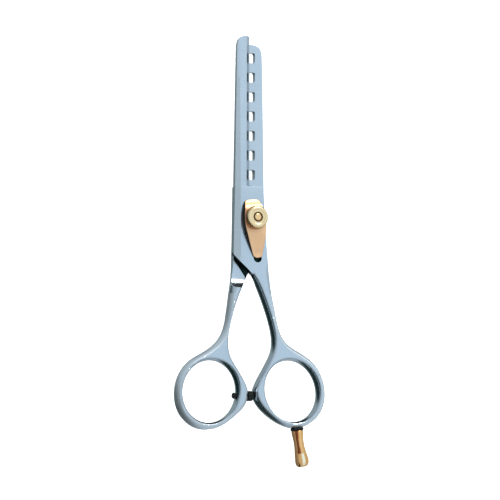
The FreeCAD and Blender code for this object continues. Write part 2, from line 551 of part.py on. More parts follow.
# milled grip notches round the rim
sk = sketch(knob, "notch_outline", "XY_Plane", KZ - 0.5)
circle(sk, kr + 0.22, 0, 0.42)
notch = pocket(knob, "notch", sk, kt + 1.5, reverse=True)
cut_check(knob, notch, "notch")
pp = knob.newObject("PartDesign::PolarPattern", "notches")
pp.Originals = [notch]
pp.Axis = (next(f for f in knob.Origin.OriginFeatures if f.Role == "Z_Axis"), [""])
pp.Angle = 360
pp.Occurrences = 20
knob.Tip = pp
doc.recompute()

# ---------------------------------------------------------------- bumper
bump = body("bumper")
sk = sketch(bump, "bumper_profile", "XY_Plane", MID, "Dims.thick_total / 2")
bl, br, by, bR, bS = D["bumper_left"], D["bumper_right"] - 0.05, D["bumper_y"], D["bumper_r"], D["bumper_stem_r"]
polygon(sk, [
    (-6.9, by), (-6.9, by + 0.55), (-6.55, by + 1.02), (-6.2, by + 1.12), (-5.75, by + bS), (bl, by + bS), (bl, by + bR - 0.12),
    (bl + 0.12, by + bR), (br - 0.3, by + bR), (br, by + bR - 0.3), (br, by),
])
rv = bump.newObject("PartDesign::Revolution", "bumper_turned")
rv.Profile = sk
ax = next(f for f in bump.Origin.OriginFeatures if f.Role == "X_Axis")
# the axis is the profile's own straight side, through the bumper's centre
rv.ReferenceAxis = (sk, ["Edge11"])
rv.Angle = 360
doc.recompute()

# ---------------------------------------------------------------- finger rest, its stud and washer
washer = body("rest_washer")
s = sketch(washer, "rest_washer_profile", "XZ_Plane")
wr, wt = D["rest_washer_r"], D["rest_washer_thick"]
polygon(s, [(D["rest_stud_r"] + 0.05, 0.02), (wr, 0.02), (wr, 0.35), (wr - 0.2, wt - 0.02), (D["rest_stud_r"] + 0.05, wt - 0.02)])
rv = washer.newObject("PartDesign::Revolution", "rest_washer_turned")
rv.Profile = s
rv.ReferenceAxis = (next(f for f in washer.Origin.OriginFeatures if f.Role == "Z_Axis"), [""])
rv.Angle = 360
washer.Placement = Placement(REST_AT, REST_ROT)

pin = body("rest_stud")
s = sketch(pin, "rest_stud_outline", "XY_Plane", -2.0)
circle(s, 0, 0, D["rest_stud_r"], "Dims.rest_stud_r")
pad(pin, "rest_stud_rod", s, None, 2.0 + wt + 2.4)
pin.Placement = Placement(REST_AT, REST_ROT)

rest = body("finger_rest")
# sections across the rest: distance from the seat, sideways shift, half width in the plan, half height
SECTIONS = [
    (wt, 0.0, 2.12, 2.12), (wt + 1.6, -0.03, 1.95, 1.95), (wt + 3.4, 0.02, 1.80, 1.80), (wt + 5.4, 0.08, 1.84, 1.80),
    (wt + 7.4, 0.22, 2.10, 1.95), (wt + 9.0, 0.36, 2.42, 2.10), (wt + 10.2, 0.38, 2.45, 2.12), (wt + 11.1, 0.30, 2.10, 1.80),
    (wt + 11.7, 0.22, 1.25, 1.05),
]
made = []
for i, (d, shift, a, b_) in enumerate(SECTIONS):
    s = sketch(rest, f"rest_section_{i}", "XY_Plane", d)
    centre = Vector(shift, 0, 0)
    if a >= b_:
        s.addGeometry(Part.Ellipse(centre + Vector(a + (1e-4 if a == b_ else 0), 0, 0), centre + Vector(0, b_, 0), centre), False)
    else:
        s.addGeometry(Part.Ellipse(centre + Vector(0, b_, 0), centre + Vector(a, 0, 0), centre), False)
    made.append(s)
lf = rest.newObject("PartDesign::AdditiveLoft", "rest_loft")
lf.Profile, lf.Sections, lf.Ruled = made[0], made[1:], False
doc.recompute()
s = sketch(rest, "rest_bore_outline", "XY_Plane", wt)
circle(s, 0, 0, D["rest_stud_r"] + 0.01, "Dims.rest_stud_r + 0.01")
cut_check(rest, pocket(rest, "rest_bore", s, 2.6, reverse=True), "rest bore")
# the sections' own X axis is turned to lie in the plan
SPIN = Rotation(REST_DIR.cross(Vector(0, 0, 1)).negative(), Vector(0, 0, 1).cross(REST_DIR.cross(Vector(0, 0, 1))), REST_DIR, "ZXY")
rest.Placement = Placement(REST_AT, SPIN)

doc.recompute()

# ---------------------------------------------------------------- checks and export
NODES = [comb, plain, stud, bush, ride, headw, knobw, leaf, knob, bump, washer, pin, rest]
for o in doc.Objects:
    if any(s in ("Invalid", "Error") for s in o.State):
        raise SystemExit(f"{o.Name} failed: {o.State}")
os.makedirs("parts", exist_ok=True)
for b in NODES:
    shape = b.Shape
    if shape.isNull() or not shape.isValid():
        raise SystemExit(f"{b.Label} is null or not valid")
    if not shape.Solids:
        raise SystemExit(f"{b.Label} has no solid")
    bb = shape.BoundBox
    print(f"{b.Label:16s} solids {len(shape.Solids)} volume {shape.Volume:9.2f} x {bb.XMin:.2f} {bb.XMax:.2f} y {bb.YMin:.2f} {bb.YMax:.2f} z {bb.ZMin:.2f} {bb.ZMax:.2f}")
    shape.exportStep(os.path.join("parts", b.Label + ".step"))
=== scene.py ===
import math

import bpy
import numpy as np
from mathutils import Matrix, Vector
from mathutils.geometry import delaunay_2d_cdt


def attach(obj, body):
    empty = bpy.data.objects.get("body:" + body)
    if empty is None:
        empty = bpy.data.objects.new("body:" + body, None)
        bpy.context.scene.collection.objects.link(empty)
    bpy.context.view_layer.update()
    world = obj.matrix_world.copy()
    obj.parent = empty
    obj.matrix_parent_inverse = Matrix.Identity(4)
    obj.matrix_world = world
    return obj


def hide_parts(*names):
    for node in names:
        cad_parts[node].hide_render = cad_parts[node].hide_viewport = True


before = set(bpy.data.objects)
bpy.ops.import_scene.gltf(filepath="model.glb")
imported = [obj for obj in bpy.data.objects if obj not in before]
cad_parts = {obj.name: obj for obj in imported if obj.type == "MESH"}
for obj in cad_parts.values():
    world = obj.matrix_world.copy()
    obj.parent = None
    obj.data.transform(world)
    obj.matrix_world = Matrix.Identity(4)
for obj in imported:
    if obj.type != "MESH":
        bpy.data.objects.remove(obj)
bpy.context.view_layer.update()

MM = 0.001

# ------------------------------------------------------------------ measures shared with the CAD model (mm)
T = 5.50                     # full thickness
MID = T / 2
COMB_TOP = 2.72              # inner face of the comb half
PLAIN_BOTTOM = 2.78          # inner face of the plain half
SHOULDER_Y = 11.40
TAPER = 0.90
SCOOP_Y, SCOOP_R = -20.0, 5.0
GAP_FLOOR, TOOTH_TIP = 1.70, -2.20
GAP0, PITCH, GAP = 57.60, 6.96, 3.70
HOLE_LEFT = (-15.40, -60.78, 9.90, 10.82, -17.3)
HOLE_RIGHT = (14.86, -59.98, 9.80, 10.80, 20.5)


# ------------------------------------------------------------------ curve helpers
def catmull(points, step):
    """Smooth open curve through points, sampled about every step (centripetal Catmull-Rom)."""
    p = np.array(points, float)
    if len(p) == 2:
        n = max(1, int(round(np.hypot(*(p[1] - p[0])) / step)))
        return [tuple(p[0] + (p[1] - p[0]) * i / n) for i in range(n)]
    ext = np.vstack([2 * p[0] - p[1], p, 2 * p[-1] - p[-2]])
    out = []
    for i in range(1, len(ext) - 2):
        p0, p1, p2, p3 = ext[i - 1], ext[i], ext[i + 1], ext[i + 2]
        t0 = 0.0
        t1 = t0 + np.hypot(*(p1 - p0)) ** 0.5
        t2 = t1 + np.hypot(*(p2 - p1)) ** 0.5
        t3 = t2 + np.hypot(*(p3 - p2)) ** 0.5
        n = max(1, int(round(np.hypot(*(p2 - p1)) / step)))
        for k in range(n):
            t = t1 + (t2 - t1) * k / n
            a1 = (t1 - t) / (t1 - t0) * p0 + (t - t0) / (t1 - t0) * p1
            a2 = (t2 - t) / (t2 - t1) * p1 + (t - t1) / (t2 - t1) * p2
            a3 = (t3 - t) / (t3 - t2) * p2 + (t - t2) / (t3 - t2) * p3
            b1 = (t2 - t) / (t2 - t0) * a1 + (t - t0) / (t2 - t0) * a2
            b2 = (t3 - t) / (t3 - t1) * a2 + (t - t1) / (t3 - t1) * a3
            out.append(tuple((t2 - t) / (t2 - t1) * b1 + (t - t1) / (t2 - t1) * b2))
    return out


def ellipse(cx, cy, a, b, turn, n):
    t = math.radians(turn)
    out = []
    for i in range(n):
        f = 2 * math.pi * i / n
        u, v = a * math.cos(f), b * math.sin(f)
        out.append((cx + u * math.cos(t) - v * math.sin(t), cy + u * math.sin(t) + v * math.cos(t)))
    return out


def seg_dist(pts, a, b):
    """For each point the distance to the nearest segment a[i]-b[i], and that segment's number and place on it."""
    best = np.full(len(pts), 1e9)
    which = np.zeros(len(pts), int)
    where = np.zeros(len(pts))
    d = b - a
    l2 = np.maximum((d ** 2).sum(1), 1e-12)
    for s in range(0, len(pts), 1500):
        q = pts[s:s + 1500]
        t = np.clip(((q[:, None, :] - a[None]) * d[None]).sum(2) / l2[None], 0, 1)
        r = a[None] + t[..., None] * d[None]
        dist = np.hypot(q[:, None, 0] - r[..., 0], q[:, None, 1] - r[..., 1])
        i = dist.argmin(1)
        best[s:s + 1500] = dist[np.arange(len(q)), i]
        which[s:s + 1500] = i
        where[s:s + 1500] = t[np.arange(len(q)), i]
    return best, which, where


def smooth(t):
    t = np.clip(t, 0, 1)
    return t * t * (3 - 2 * t)


def link(mesh, name):
    o = bpy.data.objects.new(name, mesh)
    bpy.context.scene.collection.objects.link(o)
    return o


def mesh_from(name, verts, faces, mats=(), scale=MM):
    m = bpy.data.meshes.new(name)
    m.from_pydata([(x * scale, y * scale, z * scale) for x, y, z in verts], [], [tuple(f) for f in faces])
    m.validate(clean_customdata=False)
    for mat in mats:
        m.materials.append(mat)
    m.update()
    return link(m, name)


def shade(o, degrees):
    for p in o.data.polygons:
        p.use_smooth = True
    o.data.set_sharp_from_angle(angle=math.radians(degrees))


# ------------------------------------------------------------------ outlines of the two halves
# Each chain is (kind, points). kind: 0 flat side wall, 1 outer side of the handle, 2 inner side of the handle.
COMB_OUTLINE = [
    (0, [(-5.85, 11.40), (-5.95, 5.0), (-6.05, -2.0), (-6.18, -9.0), (-6.32, -14.6)], "flat"),
    (1, [(-6.32, -14.6), (-6.66, -18.0), (-7.08, -20.8), (-7.78, -24.6), (-8.36, -28.9), (-8.98, -33.2), (-9.72, -37.3),
         (-10.9, -40.7), (-12.9, -43.6), (-15.9, -46.1), (-19.3, -48.15), (-22.4, -50.05), (-24.9, -52.6),
         (-26.65, -55.5), (-27.68, -58.8), (-27.95, -62.1), (-27.50, -65.6), (-26.25, -68.6), (-24.15, -71.1),
         (-21.4, -73.0), (-18.1, -73.95), (-14.5, -73.8), (-11.1, -72.6), (-8.05, -70.65), (-5.4, -68.5),
         (-3.2, -66.4), (-1.85, -64.1), (-1.36, -62.0)], "out"),
    (2, [(-1.36, -62.0), (-1.5, -59.8), (-2.6, -57.0), (-4.3, -54.1), (-6.1, -51.4), (-7.65, -48.8), (-8.45, -46.1),
         (-8.62, -43.4), (-8.40, -40.6), (-7.80, -37.6), (-6.95, -34.2), (-5.85, -30.4), (-4.45, -26.6), (-2.85, -22.9),
         (-1.2, -19.9), (0.45, -17.9)], "in"),
    (0, [(0.45, -17.9), (2.75, -15.1), (5.30, -11.5)], "flat"),
    (0, [(5.30, -11.5), (5.15, 0.0), (5.05, 11.4), (4.94, 20.0), (4.66, 42.0), (4.40, 57.6)], "flat"),
    (0, [(4.40, 57.6), (4.20, 59.6), (3.35, 61.4), (1.60, 62.3)], "flat"),
    (0, [(1.60, 62.3), (-2.20, 62.42)], "flat"),
]
PLAIN_OUTLINE = [
    (0, [(-0.45, 11.40), (-0.45, 65.25)], "edge"),
    (0, [(-0.45, 65.25), (-2.1, 65.15), (-4.0, 64.75), (-5.05, 63.7), (-5.50, 62.2), (-5.65, 60.0)], "flat"),
    (0, [(-5.65, 60.0), (-5.84, 50.0), (-6.15, 34.0), (-6.42, 20.0), (-6.62, 8.0), (-6.85, -3.0), (-7.02, -12.8)], "flat"),
    (0, [(-7.02, -12.8), (-4.67, -15.35), (-2.05, -17.75), (0.1, -19.9)], "flat"),
    (2, [(0.1, -19.9), (1.75, -22.7), (3.4, -26.4), (4.88, -30.2), (6.1, -33.7), (7.1, -37.1), (7.75, -40.0), (8.0, -42.6),
         (7.85, -45.0), (7.15, -47.4), (5.85, -50.0), (4.05, -53.2), (2.2, -56.5), (0.95, -59.5), (0.70, -61.8)], "in"),
    (1, [(0.70, -61.8), (1.65, -64.0), (3.5, -66.5), (6.15, -68.85), (9.25, -70.9), (12.55, -72.3), (16.0, -72.95), (19.15, -72.45),
         (22.05, -71.05), (24.6, -69.0), (26.5, -66.2), (27.52, -62.8), (27.55, -59.0), (26.65, -55.3), (24.95, -51.9),
         (22.5, -49.2), (19.5, -47.15), (16.2, -45.4), (13.3, -43.4), (11.4, -41.0), (10.2, -38.2), (9.28, -34.5),
         (8.42, -30.3), (7.55, -26.2), (6.84, -22.1), (6.08, -18.2), (5.32, -12.9)], "out"),
    (0, [(5.32, -12.9), (4.86, -6.6), (4.35, 2.0), (3.88, 11.4)], "flat"),
    (0, [(3.88, 11.4), (-0.45, 11.40)], "flat"),
]


def comb_teeth():
    """Free side of the comb, from the tip down: straight tooth ends and gaps with rounded floors."""
    out = []
    for i in range(7):
        c = GAP0 - PITCH * i
        hi, lo, r = c + GAP / 2, c - GAP / 2, 0.7
        out.append((TOOTH_TIP, hi))
        for k in range(7):
            f = math.pi / 2 * k / 6
            out.append((GAP_FLOOR - r + r * math.sin(f), hi - r + r * math.cos(f)))
        for k in range(7):
            f = math.pi / 2 * k / 6
            out.append((GAP_FLOOR - r + r * math.cos(f), lo + r - r * math.sin(f)))
        out.append((TOOTH_TIP, lo))
    out.append((TOOTH_TIP, SHOULDER_Y))
    return out


def sample_outline(chains, fine):
    pts, kind, corner = [], [], []
    for k, c, _ in chains:
        line = catmull(c, fine if k else max(fine, 0.5))
        corner.append(len(pts))
        pts += line
        kind += [k] * len(line)
    return pts, kind, corner


# ------------------------------------------------------------------ section of the handle
def f_inner(d, w):
    """Elliptical side, w wide."""
    t = np.clip(d / w, 0, 1)
    return np.sqrt(np.clip(1 - (1 - t) ** 2, 0, 1))


def f_outer(d, w, e):
    """Side that falls off gently from the flat to a short upright edge with a small round on it."""
    t = np.clip(d / w, 0, 1)
    r = np.clip(d / 0.35, 0, 1)
    return (e + (1 - e) * (1 - (1 - t) ** 1.6)) * (1 - 0.16 * (1 - np.sqrt(np.clip(1 - (1 - r) ** 2, 0, 1))))


WI, WO, EO = 1.25, 1.65, 0.40
OFFSETS = sorted({0.03, 0.06} | {round(WI * (1 - math.sin(math.atan(WI / MID * math.tan(math.radians(a))))), 4) for a in (86, 80, 72, 63, 54, 45, 36, 27, 18, 9)} | {0.1, 0.2, 0.38, 0.62, 0.9, 1.25, 1.5, 1.75, 2.2, 2.8})


class Half:
    """One half of the shears, made as an upper and a lower surface over the same plan, joined by side walls."""

    def __init__(self, name, chains, hole, teeth):
        self.name = name
        pts, kind, corner = [], [], []
        for k, c, _ in chains:
            line = catmull(c, 0.3 if k else 0.6)
            corner.append(len(pts))
            pts += line
            kind += [k] * len(line)
        if teeth:
            extra = comb_teeth()
            pts += [(TOOTH_TIP, 62.42)] + extra
            kind += [0] * (len(extra) + 1)
        self.out = np.array(pts, float)
        self.kind = np.array(kind)
        self.hole = np.array(ellipse(*hole, 230), float)
        self.a = self.out
        self.b = np.roll(self.out, -1, axis=0)
        self.ha = self.hole
        self.hb = np.roll(self.hole, -1, axis=0)
        self.area = 0.5 * np.sum(self.a[:, 0] * self.b[:, 1] - self.b[:, 0] * self.a[:, 1])

    def profile(self, p):
        """Share of the half thickness at each point: 1 on the flats, less on the rounded sides of the handle."""
        f = np.ones(len(p))
        # the rounding sets in gradually where the shank leaves the pivot area
        fade = smooth((-14.0 - p[:, 1]) / 12.0)
        for kind, w in ((1, WO), (2, WI)):
            sel = self.kind == kind
            d, i, _ = seg_dist(p, self.a[sel], self.b[sel])
            y = self.a[sel][i][:, 1]
            fd = smooth((-13.0 - y) / 12.0)
            if kind == 1:
                g = f_outer(d, w, EO)
            else:
                g = f_inner(d, w)
            f *= 1 - (1 - g) * fd
        d, _, _ = seg_dist(p, self.ha, self.hb)
        f *= f_inner(d, WI)
        return np.clip(f, 0.0, 1)

    def inside(self, p):
        """Even-odd test against the outline and the hole."""
        res = np.zeros(len(p), bool)
        for a, b in ((self.a, self.b), (self.ha, self.hb)):
            for (x0, y0), (x1, y1) in zip(a, b):
                if y0 == y1:
                    continue
                c = ((p[:, 1] < y0) != (p[:, 1] < y1)) & (p[:, 0] < (x1 - x0) * (p[:, 1] - y0) / (y1 - y0) + x0)
                res ^= c
        return res

    def build(self, top, bottom, creases, mats, extra=()):
        out, hole = self.out, self.hole
        n, nh = len(out), len(hole)
        pts = [tuple(q) for q in out] + [tuple(q) for q in hole]
        # rings of points at growing distance from the handle's sides
        d = self.b - self.a
        dirn = d / np.maximum(np.hypot(d[:, 0], d[:, 1]), 1e-9)[:, None]
        prev = np.roll(dirn, 1, axis=0)
        t = dirn + prev
        t /= np.maximum(np.hypot(t[:, 0], t[:, 1]), 1e-9)[:, None]
        sgn = 1 if self.area > 0 else -1
        nrm = np.stack([-t[:, 1], t[:, 0]], 1) * sgn
        dh = self.hb - self.ha
        th = dh / np.hypot(dh[:, 0], dh[:, 1])[:, None]
        th = th + np.roll(th, 1, axis=0)
        th /= np.hypot(th[:, 0], th[:, 1])[:, None]
        nh_ = np.stack([th[:, 1], -th[:, 0]], 1)
        cand = []
        # a ring point is kept where no other side of the outline is nearer, and thinned with depth
        for k, off in enumerate(OFFSETS):
            stride = 1 if off < 1.0 else (2 if off < 2 else 3)
            sel = np.nonzero(self.kind > 0)[0][::stride]
            q = np.vstack([out[sel] + nrm[sel] * off, hole[::stride] + nh_[::stride] * off])
            dist = np.minimum(seg_dist(q, self.a, self.b)[0], seg_dist(q, self.ha, self.hb)[0])
            ok = (dist > off * 0.97 - 1e-6) & self.inside(q)
            cand += [tuple(x) for x in q[ok]]
        # middle of the wide places
        gx, gy = np.meshgrid(np.arange(-30, 30, 1.1), np.arange(-76, -12, 1.1))
        g = np.stack([gx.ravel(), gy.ravel()], 1)
        dist = np.minimum(seg_dist(g, self.a, self.b)[0], seg_dist(g, self.ha, self.hb)[0])
        cand += [tuple(x) for x in g[(dist > 3.1) & self.inside(g)]]
        # fine rows across the shank where the flat inner face runs out
        for y in np.arange(SCOOP_Y + 0.6, SCOOP_Y - 6.4, -0.25):
            row = np.stack([np.arange(-12, 12, 0.45), np.full(54, y)[: len(np.arange(-12, 12, 0.45))]], 1)
            dist = np.minimum(seg_dist(row, self.a, self.b)[0], seg_dist(row, self.ha, self.hb)[0])
            cand += [tuple(x) for x in row[(dist > 0.2) & self.inside(row)]]
        # thin out points that all but coincide
        seen, keep = set(), []
        for x, y in cand:
            key = (round(x / 0.07), round(y / 0.07))
            if key not in seen:
                seen.add(key)
                keep.append((x, y))
        pts += keep
        edges = [(i, (i + 1) % n) for i in range(n)] + [(n + i, n + (i + 1) % nh) for i in range(nh)]
        for line in creases:
            base = len(pts)
            pts += line
            edges += [(base + i, base + i + 1) for i in range(len(line) - 1)]
        v2, _, f2, ov, _, _ = delaunay_2d_cdt([Vector(p) for p in pts], edges, [], 0, 1e-5)
        v = np.array([(q.x, q.y) for q in v2])
        tri = np.array([f for f in f2 if len(f) == 3])
        cen = v[tri].mean(1)
        tri = tri[self.inside(cen)]
        # boundary vertices in order, found again through the list of sources
        src = {}
        for i, lst in enumerate(ov):
            for s in lst:
                src[s] = i
        loops = [[src[i] for i in range(n)], [src[n + i] for i in range(nh)]]
        used = sorted(set(tri.ravel()) | set(loops[0]) | set(loops[1]))
        remap = {u: i for i, u in enumerate(used)}
        v = v[used]
        tri = np.array([[remap[i] for i in f] for f in tri])
        area = ((v[tri[:, 1], 0] - v[tri[:, 0], 0]) * (v[tri[:, 2], 1] - v[tri[:, 0], 1]) - (v[tri[:, 2], 0] - v[tri[:, 0], 0]) * (v[tri[:, 1], 1] - v[tri[:, 0], 1]))
        tri[area < 0] = tri[area < 0][:, ::-1]
        tri = tri[np.abs(area) > 1e-9]
        loops = [[remap[i] for i in lp] for lp in loops]
        zt, zb = top(v, self), bottom(v, self)
        # edges of the triangulation used once are the rim: the side wall hangs on them
        count = {}
        for f in tri:
            for i in range(3):
                e = (f[i], f[(i + 1) % 3])
                count[e] = count.get(e, 0) + 1
        rim = [e for e in count if (e[1], e[0]) not in count]
        m = len(v)
        verts = [(x, y, z) for (x, y), z in zip(v, zt)] + [(x, y, z) for (x, y), z in zip(v, zb)]
        faces = [tuple(f) for f in tri] + [tuple(m + i for i in f[::-1]) for f in tri]
        wall = {}

        def column(i, parts):
            if i not in wall:
                lo, hi = zb[i], zt[i]
                ids = [m + i]
                for k in range(1, parts):
                    verts.append((v[i][0], v[i][1], lo + (hi - lo) * k / parts))
                    ids.append(len(verts) - 1)
                ids.append(i)
                wall[i] = ids
            return wall[i]

        for a, b in rim:
            ca, cb = column(a, 3), column(b, 3)
            for k in range(3):
                quad = [ca[k], ca[k + 1], cb[k + 1], cb[k]]
                faces.append(tuple(quad[::-1]))
        o = mesh_from(self.name, verts, faces, mats)
        return o


def scoop(y, start, sign):
    """Height change of the flat inner face where it runs out into the shank."""
    t = np.clip(SCOOP_Y - y, 0, SCOOP_R * 0.98)
    return start + sign * (SCOOP_R - np.sqrt(SCOOP_R ** 2 - t ** 2))


def lerp_line(y, y0, x0, y1, x1):
    return x0 + (x1 - x0) * (y - y0) / (y1 - y0)


BEVEL_A, BEVEL_B = (-5.0, -16.2), (-1.95, -20.6)


def bevel_side(x, y):
    """Distance past the line where the bevel of the comb's lapped end starts."""
    dx, dy = BEVEL_B[0] - BEVEL_A[0], BEVEL_B[1] - BEVEL_A[1]
    n = math.hypot(dx, dy)
    side = -((x - BEVEL_A[0]) * dy - (y - BEVEL_A[1]) * dx) / n
    return np.where((y < -13.0) & (y > -21.5), side, 0) * smooth((-13.0 - y) / 2.0)


FOOT = (math.sin(math.radians(6.8)) * 14.0, -math.cos(math.radians(6.8)) * 14.0)


def ring_of(cx, cy, r, n=40):
    pts = [(cx + r * math.cos(2 * math.pi * i / n), cy + r * math.sin(2 * math.pi * i / n)) for i in range(n)]
    return pts + [pts[0]]


# comb half --------------------------------------------------------
def comb_top(p, h):
    x, y = p[:, 0], p[:, 1]
    full = MID + (T - MID) * h.profile(p)
    # the lapped face is bevelled towards the shank's inner side
    bevel = np.clip(bevel_side(x, y), 0, 3.2) * 0.50
    return np.minimum(full, scoop(y, COMB_TOP, 1) - bevel)


def comb_bottom(p, h):
    x, y = p[:, 0], p[:, 1]
    full = MID - MID * h.profile(p)
    taper = np.where(y > SHOULDER_Y, (y - SHOULDER_Y) / (66 - SHOULDER_Y) * TAPER, 0)
    # spine bevel, right side, from the tip to the lower corner
    x0 = lerp_line(y, -8, 3.6, 66, 2.75)
    s0, s1 = (1.05 + 0.01) / 2.6, 0.9 / 2.15
    sl = lerp_line(y, -8, s0, 66, s1)
    z_b = np.maximum(taper, taper + (x - x0) * sl)
    z_b = np.where(y > -11.6, z_b, taper)
    # relief towards the tooth tips
    xr = lerp_line(y, 13.2, 1.6, 66, 1.3)
    z_r = np.where(y > SHOULDER_Y, taper + (xr - x) * (1.33 / 4.2), 0)
    return np.minimum(np.maximum.reduce([full, taper, z_b, z_r]), COMB_TOP - 0.25)


# plain half --------------------------------------------------------
def plain_strip(y):
    """x of the line between the spine bevel and the face."""
    return lerp_line(y, -18, -4.62, 67, -4.72)


def grind_line(y):
    """x of the line where the face of the plain blade turns down to the cutting edge."""
    return lerp_line(y, 11.9, -2.50, 67, -2.02)


def plain_top(p, h):
    x, y = p[:, 0], p[:, 1]
    full = MID + (T - MID) * h.profile(p)
    taper = np.where(y > SHOULDER_Y, (y - SHOULDER_Y) / (66 - SHOULDER_Y) * TAPER, 0)
    flat = T - taper
    xs = plain_strip(y)
    slope = lerp_line(y, -18, 1.15 / 3.38, 67, 0.70 / 1.88)
    strip = np.where(y > -21, flat - (xs - x) * slope, T)
    # ground face down to the cutting edge
    xg = grind_line(y)
    grind = flat - (x - xg) * (flat - 3.0) / (-0.80 - xg)
    edge = 3.0 - (x + 0.80) * 0.14 / 0.35
    ground = np.where(y > SHOULDER_Y + 0.02, np.where(x < -0.80, grind, edge), T)
    # a shallow step across the face at the end of the ricasso
    step = T - 0.09 * np.clip((y - SHOULDER_Y + 0.42) / 0.42, 0, 1)
    top = np.maximum(np.minimum.reduce([full, flat, strip, ground, np.where(y > SHOULDER_Y + 0.02, flat - 0.09, step)]), PLAIN_BOTTOM + 0.03)
    # blind hole that takes the foot of the leaf spring
    r = np.hypot(x - FOOT[0], y - FOOT[1])
    return np.where(r < 1.49, T - 1.8, top)


def plain_bottom(p, h):
    x, y = p[:, 0], p[:, 1]
    full = MID - MID * h.profile(p)
    return np.maximum(full, scoop(y, PLAIN_BOTTOM, -1))


# ------------------------------------------------------------------ materials
def new_material(name):
    m = bpy.data.materials.new(name)
    m.use_nodes = True
    nt = m.node_tree
    bsdf = next(n for n in nt.nodes if n.type == "BSDF_PRINCIPLED")
    return m, nt, bsdf


def node(nt, kind, **values):
    n = nt.nodes.new(kind)
    for k, v in values.items():
        if k in n.inputs:
            n.inputs[k].default_value = v
        else:
            setattr(n, k, v)
    return n


def coords(nt, scale, rotation=(0, 0, 0)):
    tc = node(nt, "ShaderNodeTexCoord")
    mp = node(nt, "ShaderNodeMapping")
    mp.inputs["Scale"].default_value = scale
    mp.inputs["Rotation"].default_value = rotation
    nt.links.new(tc.outputs["Object"], mp.inputs["Vector"])
    return mp


def ramp(nt, source, stops):
    r = node(nt, "ShaderNodeValToRGB")
    els = r.color_ramp.elements
    while len(els) < len(stops):
        els.new(0.5)
    for e, (p, c) in zip(els, stops):
        e.position = p
        e.color = (*c, 1) if len(c) == 3 else c
    nt.links.new(source, r.inputs["Fac"])
    return r


def metal(name, dark, light, rough, grain=(900, 14, 900), grain_turn=(0, 0, 0), bump=0.02, blotch=60.0, rough_var=0.06):
    """Ground and polished metal: slow colour blotches, fine grinding lines along the piece, roughness that follows both."""
    m, nt, b = new_material(name)
    b.inputs["Metallic"].default_value = 1.0
    slow = node(nt, "ShaderNodeTexNoise", Scale=blotch, Detail=3.0, Roughness=0.55)
    nt.links.new(coords(nt, (1, 0.35, 1)).outputs[0], slow.inputs["Vector"])
    lines = node(nt, "ShaderNodeTexNoise", Scale=1.0, Detail=4.0, Roughness=0.6)
    nt.links.new(coords(nt, grain, grain_turn).outputs[0], lines.inputs["Vector"])
    mix = node(nt, "ShaderNodeMath", operation="MULTIPLY_ADD")
    mix.inputs[1].default_value = 0.35
    nt.links.new(lines.outputs["Fac"], mix.inputs[0])
    half = node(nt, "ShaderNodeMath", operation="MULTIPLY")
    half.inputs[1].default_value = 0.65
    nt.links.new(slow.outputs["Fac"], half.inputs[0])
    nt.links.new(half.outputs[0], mix.inputs[2])
    col = ramp(nt, mix.outputs[0], [(0.30, dark), (0.70, light)])
    nt.links.new(col.outputs["Color"], b.inputs["Base Color"])
    rg = node(nt, "ShaderNodeMapRange")
    rg.inputs["From Min"].default_value = 0.3
    rg.inputs["From Max"].default_value = 0.7
    rg.inputs["To Min"].default_value = rough - rough_var
    rg.inputs["To Max"].default_value = rough + rough_var
    nt.links.new(mix.outputs[0], rg.inputs["Value"])
    nt.links.new(rg.outputs["Result"], b.inputs["Roughness"])
    bp = node(nt, "ShaderNodeBump", Strength=bump, Distance=0.0001)
    nt.links.new(lines.outputs["Fac"], bp.inputs["Height"])
    nt.links.new(bp.outputs["Normal"], b.inputs["Normal"])
    return m


def moulded(name, dark, light, rough, scale=400.0, bump=0.15):
    m, nt, b = new_material(name)
    n = node(nt, "ShaderNodeTexNoise", Scale=scale, Detail=5.0, Roughness=0.6)
    nt.links.new(coords(nt, (1, 1, 1)).outputs[0], n.inputs["Vector"])
    col = ramp(nt, n.outputs["Fac"], [(0.3, dark), (0.7, light)])
    nt.links.new(col.outputs["Color"], b.inputs["Base Color"])
    rg = node(nt, "ShaderNodeMapRange")
    rg.inputs["To Min"].default_value = rough - 0.08
    rg.inputs["To Max"].default_value = rough + 0.08
    nt.links.new(n.outputs["Fac"], rg.inputs["Value"])
    nt.links.new(rg.outputs["Result"], b.inputs["Roughness"])
    fine = node(nt, "ShaderNodeTexNoise", Scale=scale * 6, Detail=3.0)
    nt.links.new(coords(nt, (1, 1, 1)).outputs[0], fine.inputs["Vector"])
    bp = node(nt, "ShaderNodeBump", Strength=bump, Distance=0.00005)
    nt.links.new(fine.outputs["Fac"], bp.inputs["Height"])
    nt.links.new(bp.outputs["Normal"], b.inputs["Normal"])
    return m


STEEL_BLADE = metal("blade_steel", (0.50, 0.555, 0.60), (0.56, 0.62, 0.675), 0.24, grain=(60, 2600, 60))
STEEL_HANDLE = metal("handle_steel", (0.50, 0.555, 0.60), (0.56, 0.62, 0.67), 0.20, grain=(1400, 500, 1400), bump=0.012)
STEEL_SMALL = metal("stud_steel", (0.48, 0.50, 0.53), (0.60, 0.62, 0.65), 0.28, grain=(1500, 1500, 60))
GOLD_LEAF = metal("gold_leaf", (0.78, 0.45, 0.25), (0.88, 0.55, 0.31), 0.42, grain=(2200, 60, 900), blotch=300)
GOLD_KNOB = metal("gold_knob", (0.92, 0.66, 0.36), (1.0, 0.78, 0.46), 0.22, grain=(900, 900, 900), blotch=400)
GOLD_REST = metal("gold_rest", (0.82, 0.42, 0.15), (0.98, 0.57, 0.24), 0.16, grain=(700, 1600, 700), blotch=250)
# gold for the finger rest's leftmost faces: rougher, and its slightly lighter colour is painted light
GOLD_SOFT_LIT_EDGE = metal("gold_soft_lit_edge", (0.90, 0.50, 0.22), (0.98, 0.62, 0.30), 0.62, grain=(700, 1600, 700), blotch=250)
# pale gold: painted highlight on the top of the finger rest's bulb
GOLD_PAINTED_HIGHLIGHT = metal("gold_painted_highlight", (0.98, 0.82, 0.58), (1.0, 0.90, 0.70), 0.20, grain=(700, 1600, 700), blotch=250)
